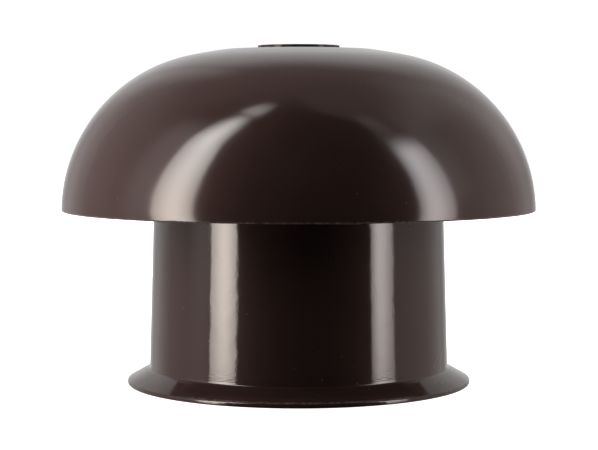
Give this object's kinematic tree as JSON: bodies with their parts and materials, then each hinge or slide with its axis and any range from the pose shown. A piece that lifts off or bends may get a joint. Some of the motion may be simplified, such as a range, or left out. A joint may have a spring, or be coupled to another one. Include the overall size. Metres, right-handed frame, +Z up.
{
  "type": "vent cap",
  "caption": "Mushroom-shaped vent cap of glossy brown plastic: a domed hood on fins over an open tube with a flared foot, whose socket slips over the top of a vent pipe.",
  "frame": {"origin": "middle of the foot's underside, on the tube's axis", "axes": "+Z up along the tube's axis, towards the dome; +X and +Y lie midway between the fins under the dome"},
  "size_m": [0.168, 0.168, 0.1198],
  "materials": {
    "base_plastic": "glossy moulded rigid plastic, dark chocolate brown, with faint scuffs and dust",
    "dome_plastic": "glossy moulded rigid plastic, dark chocolate brown"
  },
  "bodies": {
    "root": {"base_tube": "base_plastic", "dome_cap": "dome_plastic"}
  },
  "joints": []
}
